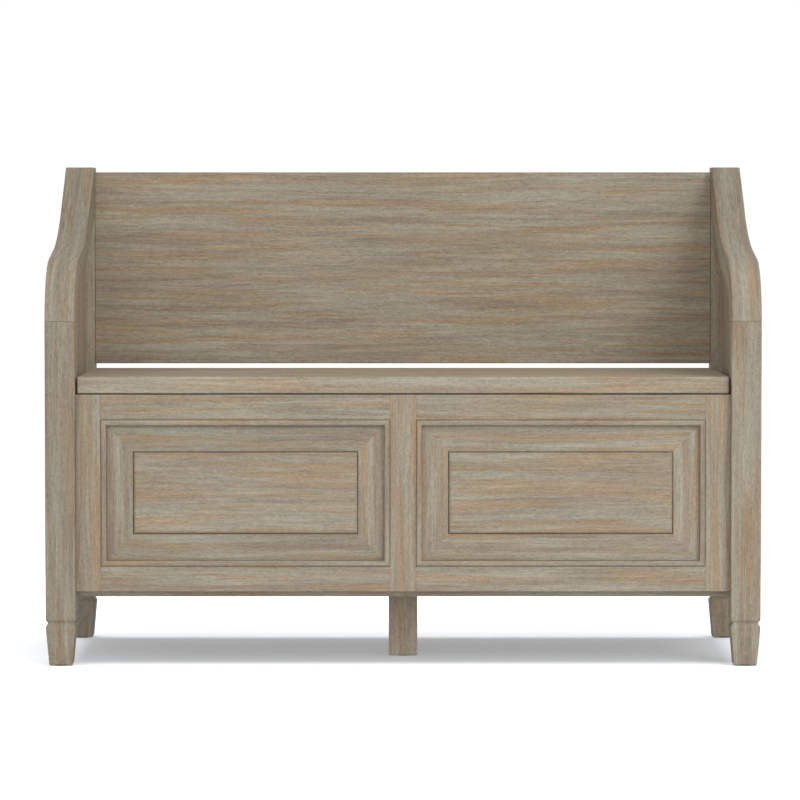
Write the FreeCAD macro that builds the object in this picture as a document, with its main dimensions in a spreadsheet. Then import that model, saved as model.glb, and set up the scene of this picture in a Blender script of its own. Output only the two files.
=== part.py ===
import FreeCAD, Part
import os
import re
import Sketcher

# An entryway settle: a free-standing storage bench with arms, a panelled
# front, a plain backrest and a seat board that lifts on three hinges and two
# folding stays. Millimetres, +X along the bench, +Y to its back, +Z up. The
# origin is the middle of its footprint, on the floor.

# Driving dimensions: name, size and what it measures.
SIZES = [
    ("width", 1067.0, "whole width over the posts"),
    ("depth", 445.0, "whole depth over the posts"),
    ("back_height", 748.5, "floor to the top of the rear posts"),
    ("seat_height", 432.2, "floor to the top of the seat board"),
    ("post_side", 44.5, "side of a square post"),
    ("post_easing", 1.6, "rounding of a post's edges"),
    ("glide_radius", 11.0, "glide under a foot"),
    ("glide_thick", 1.5, "glide's thickness"),
    ("groove_low", 59.0, "floor to the lower edge of the groove round a post"),
    ("groove_high", 69.4, "floor to the upper edge of that groove"),
    ("groove_deep", 3.6, "depth of that groove"),
    ("foot_taper", 5.0, "how far each side of a foot leans in"),
    ("arm_joint", 514.8, "floor to the joint of arm and front post"),
    ("arm_front_radius", 94.15, "front bend of an arm"),
    ("arm_front_lean", 9.62, "degrees of the arm's first straight run"),
    ("arm_front_run", 85.7, "length of that run"),
    ("arm_sweep_radius", 333.4, "hollow bend of an arm"),
    ("arm_back_lean", 34.81, "degrees of the arm's last straight run"),
    ("arm_under_lean", 9.0, "degrees of the underside past the front bend"),
    ("arm_under_radius", 1018.0, "long bend of the underside"),
    ("arm_under_back", 668.0, "floor to the arm's underside at the rear post"),
    ("arm_easing", 2.0, "rounding of an arm's edges"),
    ("side_recess", 13.25, "post's inner face to the side panel's inner face"),
    ("side_panel_thick", 18.0, "side panel"),
    ("side_rail_thick", 22.0, "side rail"),
    ("rail_easing", 1.0, "rounding of a rail's edges"),
    ("joint_easing", 0.5, "rounding of a front post's top edges, under its arm"),
    ("frame_base", 111.0, "floor to the underside of the front frame"),
    ("frame_setback", 14.0, "front posts' face to the frame's face"),
    ("frame_thick", 22.0, "front frame"),
    ("frame_easing", 0.6, "rounding of the frame's edges"),
    ("end_stile_wide", 37.4, "outer stile of the front frame"),
    ("centre_stile_wide", 38.8, "middle stile of the front frame"),
    ("top_rail_wide", 37.5, "top rail of the front frame"),
    ("bottom_rail_wide", 37.5, "bottom rail of the front frame"),
    ("bead_wide", 9.0, "half-round bead round a panel"),
    ("bead_proud", 3.0, "how far a bead stands before the frame"),
    ("bead_round", 3.6, "rounding of a bead"),
    ("border_wide", 48.0, "mitred border of a panel, bead included"),
    ("border_thick", 6.0, "mitred border"),
    ("border_easing", 0.7, "rounding of a border's edges"),
    ("field_gap", 1.1, "gap between border and raised field"),
    ("field_proud", 3.5, "how far a field stands before its border"),
    ("field_bevel", 2.8, "bevel round a field"),
    ("panel_thick", 10.0, "board behind a panel"),
    ("back_thick", 18.0, "back boards"),
    ("back_setback", 13.25, "rear posts' back face to the back boards"),
    ("backrest_gap", 5.4, "seat board's top to the backrest's lower edge"),
    ("backrest_drop", 7.5, "rear posts' top to the backrest's upper edge"),
    ("board_easing", 1.5, "rounding of a board's edges"),
    ("floor_thick", 9.0, "bottom board"),
    ("batten_thick", 18.0, "battens and bearer under the bottom board"),
    ("batten_wide", 30.0, "batten under the bottom board"),
    ("bearer_drop", 9.5, "front frame's underside to the bearer's underside"),
    ("bearer_wide", 43.5, "bearer and foot in the middle"),
    ("centre_foot_front", 140.0, "front posts' face to the middle foot"),
    ("ledger_wide", 28.0, "ledger inside the box"),
    ("ledger_deep", 37.5, "ledger's height"),
    ("strip_thick", 20.0, "fixed strip that carries the hinges"),
    ("strip_wide", 89.0, "rear posts' back face to that strip's front edge"),
    ("corner_side", 26.0, "corner block"),
    ("lid_thick", 25.2, "seat board"),
    ("lid_short", 77.0, "rear posts' back face to the seat board's rear edge"),
    ("lid_side_gap", 2.4, "gap between seat board and post"),
    ("lid_easing", 2.6, "rounding of the seat board's edges"),
    ("bumper_thick", 1.5, "bumper that the seat board rests on"),
    ("bumper_radius", 5.0, "bumper"),
    ("bumper_offset", 420.0, "middle of the bench to a bumper"),
    ("lid_batten_wide", 45.0, "batten under the seat board"),
    ("lid_batten_thick", 18.0, "batten under the seat board"),
    ("lid_batten_offset", 250.0, "middle of the bench to that batten"),
    ("lid_batten_front", 60.0, "front posts' face to that batten"),
    ("lid_batten_short", 38.0, "seat board's rear edge to that batten"),
    ("hinge_long", 60.0, "hinge"),
    ("hinge_spacing", 330.0, "middle hinge to an outer hinge"),
    ("hinge_behind", 3.5, "seat board's rear edge to the hinge pin"),
    ("hinge_rise", 4.0, "hinge strip's top to the hinge pin"),
    ("pin_radius", 1.5, "hinge pin"),
    ("knuckle_radius", 3.2, "hinge knuckle"),
    ("knuckle_gap", 0.2, "gap between two knuckles"),
    ("leaf_thick", 1.8, "hinge leaf"),
    ("plate_reach", 26.5, "hinge pin to the fixed leaf's back edge"),
    ("leaf_reach", 20.5, "hinge pin to the moving leaf's upper edge"),
    ("leaf_clear", 4.0, "hinge pin to the leaves beside a knuckle"),
    ("running_gap", 0.05, "clearance round a pin, screw or dowel"),
    ("dowel_radius", 4.0, "dowel"),
    ("dowel_long", 30.0, "dowel"),
    ("dowel_spread", 9.0, "middle of a rail to a dowel"),
    ("arm_dowel_spread", 12.6, "middle of an arm's rear dowels to a dowel"),
    ("arm_dowel_drop", 9.0, "middle of an arm's rear end to the middle of its dowels"),
    ("screw_radius", 1.6, "screw shank"),
    ("screw_head", 3.4, "screw head"),
    ("screw_sink", 1.5, "height of a screw's countersunk head"),
    ("short_screw", 16.0, "screw through metal"),
    ("long_screw", 34.0, "screw through wood"),
    ("hole_spare", 1.0, "room past the tip of a screw or dowel"),
    ("corner_screw_low", 30.0, "front opening's lower edge to a corner block's screw"),
    ("corner_screw_high", 45.0, "front opening's upper edge to its upper screw"),
    ("hinge_screw_spread", 15.0, "middle of a hinge to a screw"),
    ("stay_reach", 133.0, "hinge pin to the stay's upper pivot, forward"),
    ("stay_drop", 16.0, "hinge pin to the stay's upper pivot, down"),
    ("stay_offset", 34.0, "hinge pin to the stay's lower pivot, forward"),
    ("stay_fall", 130.0, "hinge pin to the stay's lower pivot, down"),
    ("stay_wide", 14.0, "stay arm"),
    ("stay_flat", 0.3, "half of the flat left at the round end of a stay arm"),
    ("stay_thick", 2.5, "stay arm"),
    ("stay_gap", 0.25, "gap between two stay arms"),
    ("stay_inset", 3.0, "ledger's face to the stay's outer arm"),
    ("stay_plate_thick", 2.0, "stay's bracket on the box"),
    ("stay_plate_high", 40.0, "stay's bracket on the box"),
    ("stay_plate_spread", 14.0, "middle of that bracket to a screw"),
    ("stay_pin_radius", 2.5, "pivot of a stay"),
    ("stay_head_radius", 4.2, "head of a pivot"),
    ("stay_head_thick", 0.8, "head of a pivot"),
    ("stay_foot_wide", 26.0, "foot of the stay's bracket on the seat board"),
    ("stay_foot_long", 26.0, "foot of that bracket, front to back"),
    ("stay_foot_edge", 7.0, "inner edge of that foot to its screws"),
    ("stay_foot_spread", 6.5, "middle of that foot to a screw"),
    ("stay_block_deep", 39.0, "stay block, front to back"),
    ("stay_block_drop", 29.5, "stay's lower pivot to the stay block's lower end"),
    ("stay_block_edge", 12.0, "stay block's front to its screws"),
    ("stay_block_low_screw", 10.0, "stay block's lower end to its lower screw"),
    ("stay_block_high_screw", 20.0, "front opening's upper edge to its upper screw"),
]

# Places worked out from the driving dimensions.
PLACES = {
    "front": "-depth / 2",
    "back": "depth / 2",
    "inner": "width / 2 - post_side",
    "outer": "width / 2",
    "front_post_back": "front + post_side",
    "rear_post_front": "back - post_side",
    "side_inner": "inner + side_recess",
    "side_outer": "side_inner + side_panel_thick",
    "side_middle": "side_inner + side_panel_thick / 2",
    "frame_top": "seat_height - lid_thick - bumper_thick",
    "frame_front": "front + frame_setback",
    "frame_back": "frame_front + frame_thick",
    "opening_top": "frame_top - top_rail_wide",
    "opening_low": "frame_base + bottom_rail_wide",
    "opening_inner": "centre_stile_wide / 2",
    "opening_outer": "inner - end_stile_wide",
    "side_rail_top": "frame_base + bottom_rail_wide",
    "panel_front": "frame_back - panel_thick",
    "border_front": "panel_front - border_thick",
    "bead_front": "frame_front - bead_proud",
    "field_front": "border_front - field_proud",
    "field_inset": "border_wide + field_gap",
    "back_rear": "back - back_setback",
    "back_front": "back_rear - back_thick",
    "backrest_low": "seat_height + backrest_gap",
    "backrest_high": "back_height - backrest_drop",
    "bearer_low": "frame_base - bearer_drop",
    "floor_low": "bearer_low + batten_thick",
    "floor_top": "floor_low + floor_thick",
    "strip_low": "frame_top - strip_thick",
    "strip_face": "back - strip_wide",
    "ledger_low": "frame_top - ledger_deep",
    "ledger_face": "side_inner - ledger_wide",
    "lid_low": "seat_height - lid_thick",
    "lid_front": "frame_front",
    "lid_back": "back - lid_short",
    "lid_batten_low": "lid_low - lid_batten_thick",
    "lid_batten_near": "front + lid_batten_front",
    "lid_batten_far": "lid_back - lid_batten_short",
    "hinge_y": "lid_back + hinge_behind",
    "hinge_z": "frame_top + hinge_rise",
    "box_pivot_y": "hinge_y - stay_offset",
    "box_pivot_z": "hinge_z - stay_fall",
    "lid_pivot_y": "hinge_y - stay_reach",
    "lid_pivot_z": "hinge_z - stay_drop",
    "knee_y": "box_pivot_y - stay_reach",
    "knee_z": "box_pivot_z - stay_drop",
    "stay_block_face": "strip_face - stay_block_deep",
    "stay_block_low": "box_pivot_z - stay_block_drop",
    "stay_outer": "ledger_face - stay_inset",
    "stay_middle": "stay_outer - stay_thick",
    "stay_upper": "stay_middle - stay_gap",
    "stay_inner": "stay_upper - stay_thick",
    "block_inner": "inner - corner_side",
    "arm_bend_y": "front + arm_front_radius",
    "arm_top_1y": "arm_bend_y - arm_front_radius * sin(arm_front_lean)",
    "arm_top_1z": "arm_joint + arm_front_radius * cos(arm_front_lean)",
    "arm_top_2y": "arm_top_1y + arm_front_run * cos(arm_front_lean)",
    "arm_top_2z": "arm_top_1z + arm_front_run * sin(arm_front_lean)",
    "arm_top_3y": "arm_top_2y + arm_sweep_radius * (sin(arm_back_lean) - sin(arm_front_lean))",
    "arm_top_3z": "arm_top_2z + arm_sweep_radius * (cos(arm_front_lean) - cos(arm_back_lean))",
    "arm_under_bend": "arm_front_radius - post_side",
    "arm_under_1y": "arm_bend_y - arm_under_bend * sin(arm_under_lean)",
    "arm_under_1z": "arm_joint + arm_under_bend * cos(arm_under_lean)",
}

SIDES = {"left": "-1", "right": "1"}
HINGES = ("-hinge_spacing", "0", "hinge_spacing")
KNUCKLES = 5
TOUCH = 0.01
WORD = re.compile(r"[a-z][a-z_0-9]+")
VALUES = {alias: value for alias, value, meaning in SIZES}
# An axis of the shape and the degrees that turn +Z to each direction.
DIRECTIONS = {
    "up": ((1, 0, 0), 0),
    "down": ((1, 0, 0), 180),
    "forward": ((1, 0, 0), 90),
    "backward": ((1, 0, 0), -90),
    "right": ((0, 1, 0), 90),
    "left": ((0, 1, 0), -90),
}

doc = FreeCAD.newDocument("settle_bench")
sheet = doc.addObject("Spreadsheet::Sheet", "sizes")
subparts = []


def fill_sheet():
    for row, (alias, value, meaning) in enumerate(SIZES, start=1):
        sheet.set("A%d" % row, meaning)
        sheet.set("B%d" % row, str(value))
        sheet.setAlias("B%d" % row, alias)
    doc.recompute()


def sized(text):
    """Turns a size in words into an expression on the sheet's cells."""

    def cell(match):
        word = match.group()
        if word in PLACES:
            return "(" + sized(PLACES[word]) + ")"
        if word in VALUES:
            return "sizes." + word
        return word

    return WORD.sub(cell, text)


def number(text):
    """Works out a size in words as a plain number."""
    value = sheet.evalExpression(sized(text))
    return float(getattr(value, "Value", value))


def bind(item, **rules):
    for name, text in rules.items():
        item.setExpression(name, sized(text))


def place(item, x, y, z):
    item.setExpression("Placement.Base.x", sized(x))
    item.setExpression("Placement.Base.y", sized(y))
    item.setExpression("Placement.Base.z", sized(z))


def turn(item, axis, angle):
    for name, share in zip("xyz", axis):
        item.setExpression("Placement.Rotation.Axis." + name, str(share))
    item.setExpression("Placement.Rotation.Angle", sized(angle))


def keep(item, label):
    """Names a finished sub-part."""
    item.Label = label
    subparts.append(item)
    return item


def span(ends):
    return "(%s) - (%s)" % (ends[1], ends[0])


def sideways(side, near, far):
    """The span in X of what lies between two distances from the middle."""
    if side == "left":
        return ("-(%s)" % far, "-(%s)" % near)
    return (near, far)


def at_side(side, distance):
    return "%s * (%s)" % (SIDES[side], distance)


def spaced(low, high, count):
    """Places spread evenly between two ends, half a gap in from each."""
    return ["%s + (%s - %s) * %d / %d" % (low, high, low, 2 * i + 1, 2 * count) for i in range(count)]


def block(name, x, y, z):
    """A plain box between two places on each axis."""
    item = doc.addObject("Part::Box", name)
    bind(item, Length=span(x), Width=span(y), Height=span(z))
    place(item, x[0], y[0], z[0])
    return item


def board(name, x, y, z, easing):
    """A board between two places on each axis, with all its edges eased."""
    body = doc.addObject("PartDesign::Body", name)
    solid = body.newObject("PartDesign::AdditiveBox", name + "_wood")
    bind(solid, Length=span(x), Width=span(y), Height=span(z))
    place(body, x[0], y[0], z[0])
    ease(body, solid, easing)
    return body


def ease(body, feature, radius, edges=None):
    """Rounds the named edges of a feature, or all of them."""
    doc.recompute()
    rounding = body.newObject("PartDesign::Fillet", "%s_%s" % (feature.Name, radius.split()[0]))
    rounding.Base = (feature, edges or [""])
    rounding.UseAllEdges = edges is None
    bind(rounding, Radius=radius)
    return rounding


def edges_where(feature, wanted):
    """Names of the edges whose two ends both pass a test."""
    doc.recompute()
    names = []
    for i, edge in enumerate(feature.Shape.Edges, start=1):
        ends = [vertex.Point for vertex in edge.Vertexes]
        if len(ends) == 2 and wanted(ends[0], ends[1]):
            names.append("Edge%d" % i)
    return names


def cylinder(name, x, y, z, radius, length, direction):
    item = doc.addObject("Part::Cylinder", name)
    bind(item, Radius=radius, Height=length)
    place(item, x, y, z)
    axis, angle = DIRECTIONS[direction]
    turn(item, axis, str(angle))
    return item


def join(name, items):
    item = doc.addObject("Part::MultiFuse", name)
    item.Shapes = items
    return item


def group(name, items):
    item = doc.addObject("Part::Compound", name)
    item.Links = items
    return item


def drilled(item, label, tools):
    """A sub-part with its holes cut out."""
    if tools:
        cut = doc.addObject("Part::Cut", label + "_drilled")
        cut.Base = item
        cut.Tool = group(label + "_holes", tools)
        item = cut
    return keep(item, label)


def outline(body, name, role, corners, arcs=None, circles=()):
    """A closed sketch: corners joined by lines, or by arcs where named.

    An arc is given as (radius, turn), with turn 1 where its centre lies to
    the left of the run and -1 where it lies to the right.
    """
    plane = [item for item in body.Origin.OriginFeatures if item.Role == role][0]
    sketch = body.newObject("Sketcher::SketchObject", name)
    sketch.AttachmentSupport = [(plane, "")]
    sketch.MapMode = "FlatFace"
    places = [FreeCAD.Vector(number(u), number(v), 0) for u, v in corners]
    runs = []
    for i, start in enumerate(places):
        stop = places[(i + 1) % len(places)]
        if arcs and i in arcs:
            runs.append(add_arc(sketch, start, stop, *arcs[i]))
        else:
            runs.append((sketch.addGeometry(Part.LineSegment(start, stop), False), 1, 2))
    for i, (edge, first, last) in enumerate(runs):
        following = runs[(i + 1) % len(runs)]
        sketch.addConstraint(Sketcher.Constraint("Coincident", edge, last, following[0], following[1]))
    for (edge, first, last), (u, v) in zip(runs, corners):
        pin_down(sketch, edge, first, u, v)
    for u, v, radius in circles:
        add_circle(sketch, u, v, radius)
    return sketch


def pin_down(sketch, edge, point, u, v):
    for kind, text in (("DistanceX", u), ("DistanceY", v)):
        index = sketch.addConstraint(Sketcher.Constraint(kind, -1, 1, edge, point, number(text)))
        sketch.setExpression("Constraints[%d]" % index, sized(text))


def add_arc(sketch, start, stop, radius, side):
    chord = stop - start
    size = number(radius)
    rise = (size ** 2 - (chord.Length / 2) ** 2) ** 0.5
    across = FreeCAD.Vector(-chord.y, chord.x, 0).normalize()
    centre = start + chord * 0.5 + across * rise * side
    first, last = (start, stop) if side > 0 else (stop, start)
    level = FreeCAD.Vector(1, 0, 0)
    upward = FreeCAD.Vector(0, 0, 1)
    angles = []
    for point in (first, last):
        arm = point - centre
        angle = arm.getAngle(level)
        angles.append(angle if arm.y >= 0 else -angle)
    circle = Part.Circle(centre, upward, size)
    edge = sketch.addGeometry(Part.ArcOfCircle(circle, angles[0], angles[1]), False)
    index = sketch.addConstraint(Sketcher.Constraint("Radius", edge, size))
    sketch.setExpression("Constraints[%d]" % index, sized(radius))
    return (edge, 1, 2) if side > 0 else (edge, 2, 1)


def add_circle(sketch, u, v, radius):
    centre = FreeCAD.Vector(number(u), number(v), 0)
    circle = Part.Circle(centre, FreeCAD.Vector(0, 0, 1), number(radius))
    edge = sketch.addGeometry(circle, False)
    index = sketch.addConstraint(Sketcher.Constraint("Radius", edge, number(radius)))
    sketch.setExpression("Constraints[%d]" % index, sized(radius))
    pin_down(sketch, edge, 3, u, v)


def padded(body, name, sketch, length):
    pad = body.newObject("PartDesign::Pad", name)
    pad.Profile = sketch
    bind(pad, Length=length)
    return pad


def screw(name, x, y, z, length, direction):
    """A countersunk screw, and the hole that it sits in."""
    axis, angle = DIRECTIONS[direction]
    pieces = {}
    for kind, gap, spare in (("steel", "0", "0"), ("hole", "running_gap", "hole_spare")):
        head = doc.addObject("Part::Cone", name + "_head_" + kind)
        bind(head, Radius1="screw_head + " + gap, Radius2="screw_radius + " + gap, Height="screw_sink")
        place(head, x, y, z)
        turn(head, axis, str(angle))
        shank = cylinder(
            name + "_shank_" + kind, x, y, z,
            "screw_radius + " + gap, "%s + %s" % (length, spare), direction)
        pieces[kind] = join(name + "_" + kind, [head, shank])
    return pieces["steel"], pieces["hole"]


def dowel(name, x, y, z, axis):
    """A dowel centred on a joint, and the hole that it sits in."""
    pieces = []
    direction = {"x": "right", "y": "backward", "z": "up"}[axis]
    for kind, gap, spare in (("peg", "0", "0"), ("hole", "running_gap", "hole_spare")):
        length = "(dowel_long + 2 * %s)" % spare
        start = {"x": x, "y": y, "z": z}
        start[axis] = "(%s) - %s / 2" % (start[axis], length)
        pieces.append(cylinder(
            name + "_" + kind, start["x"], start["y"], start["z"],
            "dowel_radius + " + gap, length, direction))
    return pieces


pegs = []
peg_holes = {}
frame_screws = []
lid_screws = []
screw_holes = {}


def add_dowel(joint, name, x, y, z, axis):
    peg, hole = dowel(name, x, y, z, axis)
    pegs.append(peg)
    peg_holes.setdefault(joint, []).append(hole)


def add_screw(store, joint, name, x, y, z, length, direction):
    steel, hole = screw(name, x, y, z, length, direction)
    store.append(steel)
    screw_holes.setdefault(joint, []).append(hole)


def make_dowels():
    """Places every dowel of the frame, the arms and the side panels."""
    frame_middle = "frame_front + frame_thick / 2"
    rails = {"top": "frame_top - top_rail_wide / 2", "bottom": "frame_base + bottom_rail_wide / 2"}
    ends = {"inner": "opening_inner", "outer": "opening_outer"}
    for side in SIDES:
        for level, height in rails.items():
            for end, distance in ends.items():
                for i, shift in enumerate(("-", "+")):
                    add_dowel(
                        ("rail", side, level, end), "rail_dowel_%s_%s_%s_%d" % (side, level, end, i),
                        at_side(side, distance), frame_middle,
                        "%s %s dowel_spread" % (height, shift), "x")
        for i, shift in enumerate(("-", "+")):
            across = at_side(side, "outer - post_side / 2")
            add_dowel(
                ("arm_front", side), "arm_dowel_%s_%d" % (side, i),
                across, "front + post_side / 2 %s dowel_spread" % shift, "arm_joint", "z")
            add_dowel(
                ("arm_back", side), "arm_rear_dowel_%s_%d" % (side, i),
                across, "rear_post_front",
                "(arm_under_back + back_height) / 2 - arm_dowel_drop %s arm_dowel_spread" % shift, "y")
        for i, height in enumerate(spaced("backrest_low", "backrest_high", 3)):
            add_dowel(
                ("backrest", side), "backrest_dowel_%s_%d" % (side, i),
                at_side(side, "inner"), "back_front + back_thick / 2", height, "x")
        panel_middle = at_side(side, "side_middle")
        for i, height in enumerate(spaced("side_rail_top", "arm_joint", 3)):
            add_dowel(
                ("side_front", side), "side_front_dowel_%s_%d" % (side, i),
                panel_middle, "front_post_back", height, "y")
            add_dowel(
                ("side_back", side), "side_rear_dowel_%s_%d" % (side, i),
                panel_middle, "rear_post_front", height, "y")


def make_screws():
    """Places every screw of the box, the hinges, the stays and the lid."""
    for side in SIDES:
        block_middle = at_side(side, "inner - corner_side / 2")
        heights = ("opening_low + corner_screw_low", "opening_top - corner_screw_high")
        for i, height in enumerate(heights):
            add_screw(
                frame_screws, ("corner_front", side), "corner_screw_%s_%d" % (side, i),
                block_middle, "frame_back + corner_side", height, "long_screw", "forward")
            add_screw(
                frame_screws, ("corner_back", side), "corner_rear_screw_%s_%d" % (side, i),
                block_middle, "back_front - corner_side", height, "long_screw", "backward")
        for i, deep in enumerate(spaced("front_post_back", "strip_face", 3)):
            add_screw(
                frame_screws, ("ledger", side), "ledger_screw_%s_%d" % (side, i),
                at_side(side, "ledger_face"), deep, "frame_top - ledger_deep / 2", "long_screw", side)
        for i, deep in enumerate(spaced("lid_batten_near", "lid_batten_far", 3)):
            add_screw(
                lid_screws, ("lid_batten", side), "lid_batten_screw_%s_%d" % (side, i),
                at_side(side, "lid_batten_offset"), deep, "lid_batten_low", "long_screw", "up")
        heights = ("stay_block_low + stay_block_low_screw", "opening_top - stay_block_high_screw")
        for i, height in enumerate(heights):
            add_screw(
                frame_screws, ("stay_block", side), "stay_block_screw_%s_%d" % (side, i),
                at_side(side, "ledger_face"), "stay_block_face + stay_block_edge",
                height, "long_screw", side)
        for i, shift in enumerate(("-", "+")):
            add_screw(
                frame_screws, ("stay_box", side), "stay_box_screw_%s_%d" % (side, i),
                at_side(side, "ledger_face - stay_plate_thick"), "box_pivot_y",
                "box_pivot_z %s stay_plate_spread" % shift, "short_screw", side)
            add_screw(
                lid_screws, ("stay_lid", side), "stay_lid_screw_%s_%d" % (side, i),
                at_side(side, "stay_outer - stay_foot_wide + stay_foot_edge"),
                "lid_pivot_y %s stay_foot_spread" % shift,
                "lid_low - stay_plate_thick", "short_screw", "up")
    for i, middle in enumerate(HINGES):
        for j, shift in enumerate(("-", "+")):
            across = "%s %s hinge_screw_spread" % (middle, shift)
            add_screw(
                frame_screws, ("hinge_plate", i), "hinge_plate_screw_%d_%d" % (i, j),
                across, "hinge_y + (leaf_clear + plate_reach) / 2", "frame_top + leaf_thick",
                "short_screw", "down")
            add_screw(
                lid_screws, ("hinge_leaf", i), "hinge_leaf_screw_%d_%d" % (i, j),
                across, "lid_back + leaf_thick", "hinge_z + (leaf_clear + leaf_reach) / 2",
                "short_screw", "forward")


def make_posts():
    """Four square posts, each with a groove round it and a tapered foot."""
    half = "post_side / 2"
    middle = "(groove_low + groove_high) / 2 - glide_thick"
    for side in SIDES:
        for end, top in (("front", "arm_joint"), ("rear", "back_height")):
            label = "%s_post_%s" % (end, side)
            body = doc.addObject("PartDesign::Body", label + "_turned")
            wood = body.newObject("PartDesign::AdditiveBox", label + "_wood")
            bind(wood, Length="post_side", Width="post_side", Height=top + " - glide_thick")
            place(wood, "-post_side / 2", "-post_side / 2", "0")
            sketch = outline(body, label + "_foot_outline", "XZ_Plane", [
                (half + " - foot_taper", "0"),
                (half, "groove_low - glide_thick"),
                (half + " - groove_deep", middle),
                (half, "groove_high - glide_thick"),
                (half + " + foot_taper", "groove_high - glide_thick"),
                (half + " + foot_taper", "0"),
            ])
            doc.recompute()
            foot = body.newObject("PartDesign::Pocket", label + "_foot")
            foot.Profile = sketch
            foot.Type = "ThroughAll"
            foot.SideType = "Symmetric"
            doc.recompute()
            sides = body.newObject("PartDesign::PolarPattern", label + "_foot_sides")
            sides.Originals = [foot]
            sides.Axis = ([item for item in body.Origin.OriginFeatures if item.Role == "Z_Axis"][0], [""])
            sides.Angle = 360
            sides.Occurrences = 4
            body.Tip = sides
            if end == "front":
                level = number(top + " - glide_thick") - TOUCH
                eased = ease(
                    body, sides, "post_easing", edges_where(sides, lambda a, b: min(a.z, b.z) < level))
                ease(body, eased, "joint_easing", edges_where(eased, lambda a, b: min(a.z, b.z) > level))
            else:
                ease(body, sides, "post_easing")
            near = "front + post_side / 2" if end == "front" else "back - post_side / 2"
            place(body, at_side(side, "outer - post_side / 2"), near, "glide_thick")
            if end == "front":
                holes = peg_holes["arm_front", side] + peg_holes["side_front", side]
            else:
                holes = peg_holes["arm_back", side] + peg_holes["side_back", side]
                holes = holes + peg_holes["backrest", side]
            drilled(body, label, holes)


def make_arms():
    """Two arms that sweep from the front posts up to the rear posts."""
    for side in SIDES:
        label = "arm_" + side
        body = doc.addObject("PartDesign::Body", label + "_sawn")
        sketch = outline(body, label + "_outline", "YZ_Plane", [
            ("front_post_back", "arm_joint"),
            ("arm_under_1y", "arm_under_1z"),
            ("rear_post_front", "arm_under_back"),
            ("rear_post_front", "back_height"),
            ("arm_top_3y", "arm_top_3z"),
            ("arm_top_2y", "arm_top_2z"),
            ("arm_top_1y", "arm_top_1z"),
            ("front", "arm_joint"),
        ], {
            0: ("arm_under_bend", -1),
            1: ("arm_under_radius", 1),
            4: ("arm_sweep_radius", -1),
            6: ("arm_front_radius", 1),
        })
        pad = padded(body, label + "_wood", sketch, "post_side")
        level = number("arm_joint") + TOUCH
        butt = number("rear_post_front") - TOUCH
        free = edges_where(pad, lambda a, b: max(a.z, b.z) > level and min(a.y, b.y) < butt)
        ease(body, pad, "arm_easing", free)
        place(body, sideways(side, "inner", "outer")[0], "0", "0")
        drilled(body, label, peg_holes["arm_front", side] + peg_holes["arm_back", side])


def make_sides():
    """A rail and a panel under each arm, set back from the posts' faces."""
    for side in SIDES:
        rail = board(
            "side_rail_" + side,
            sideways(side, "side_inner", "side_inner + side_rail_thick"),
            ("front_post_back", "rear_post_front"), ("frame_base", "side_rail_top"), "rail_easing")
        keep(rail, "side_rail_" + side)
        label = "side_panel_" + side
        body = doc.addObject("PartDesign::Body", label + "_sawn")
        sketch = outline(body, label + "_outline", "YZ_Plane", [
            ("front_post_back", "side_rail_top"),
            ("rear_post_front", "side_rail_top"),
            ("rear_post_front", "arm_under_back"),
            ("arm_under_1y", "arm_under_1z"),
            ("front_post_back", "arm_joint"),
        ], {2: ("arm_under_radius", -1), 3: ("arm_under_bend", 1)})
        padded(body, label + "_wood", sketch, "side_panel_thick")
        place(body, sideways(side, "side_inner", "side_outer")[0], "0", "0")
        holes = peg_holes["side_front", side] + peg_holes["side_back", side]
        holes = holes + screw_holes["ledger", side] + screw_holes["stay_block", side]
        drilled(body, label, holes)


def make_front_frame():
    """Stiles and rails of the panelled front."""
    deep = ("frame_front", "frame_back")
    full = ("frame_base", "frame_top")
    for side in SIDES:
        label = "end_stile_" + side
        stile = board(label + "_planed", sideways(side, "opening_outer", "inner"), deep, full, "frame_easing")
        holes = peg_holes["rail", side, "top", "outer"] + peg_holes["rail", side, "bottom", "outer"]
        drilled(stile, label, holes + screw_holes["corner_front", side])
        across = sideways(side, "opening_inner", "opening_outer")
        for level, high in (("top", ("opening_top", "frame_top")), ("bottom", ("frame_base", "opening_low"))):
            label = "%s_rail_%s" % (level, side)
            rail = board(label + "_planed", across, deep, high, "frame_easing")
            holes = peg_holes["rail", side, level, "inner"] + peg_holes["rail", side, level, "outer"]
            drilled(rail, label, holes)
    stile = board("centre_stile_planed", ("-opening_inner", "opening_inner"), deep, full, "frame_easing")
    holes = []
    for side in SIDES:
        for level in ("top", "bottom"):
            holes = holes + peg_holes["rail", side, level, "inner"]
    drilled(stile, "centre_stile", holes)


def mitred_piece(name, run, x, z, wide, face, thick, easing):
    """One of the four mitred pieces inside a rectangle, its face at a depth."""
    inner_x = ("%s + %s" % (x[0], wide), "%s - %s" % (x[1], wide))
    inner_z = ("%s + %s" % (z[0], wide), "%s - %s" % (z[1], wide))
    outer = {"low": 0, "high": 1}
    if run in outer:
        i = outer[run]
        corners = [(x[0], z[i]), (x[1], z[i]), (inner_x[1], inner_z[i]), (inner_x[0], inner_z[i])]
    else:
        i = 0 if run == "near" else 1
        corners = [(x[i], z[0]), (x[i], z[1]), (inner_x[i], inner_z[1]), (inner_x[i], inner_z[0])]
    body = doc.addObject("PartDesign::Body", name)
    sketch = outline(body, name + "_outline", "XZ_Plane", corners)
    pad = padded(body, name + "_wood", sketch, thick)
    place(body, "0", "%s + %s" % (face, thick), "0")
    doc.recompute()
    depth = number(thick)
    axis = 0 if run in outer else 2

    def front_edge(a, b):
        level = abs(a.y + depth) < TOUCH and abs(b.y + depth) < TOUCH
        return level and abs((b - a)[axis]) > (b - a).Length - TOUCH

    ease(body, pad, easing, edges_where(pad, front_edge))
    return body


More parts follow.
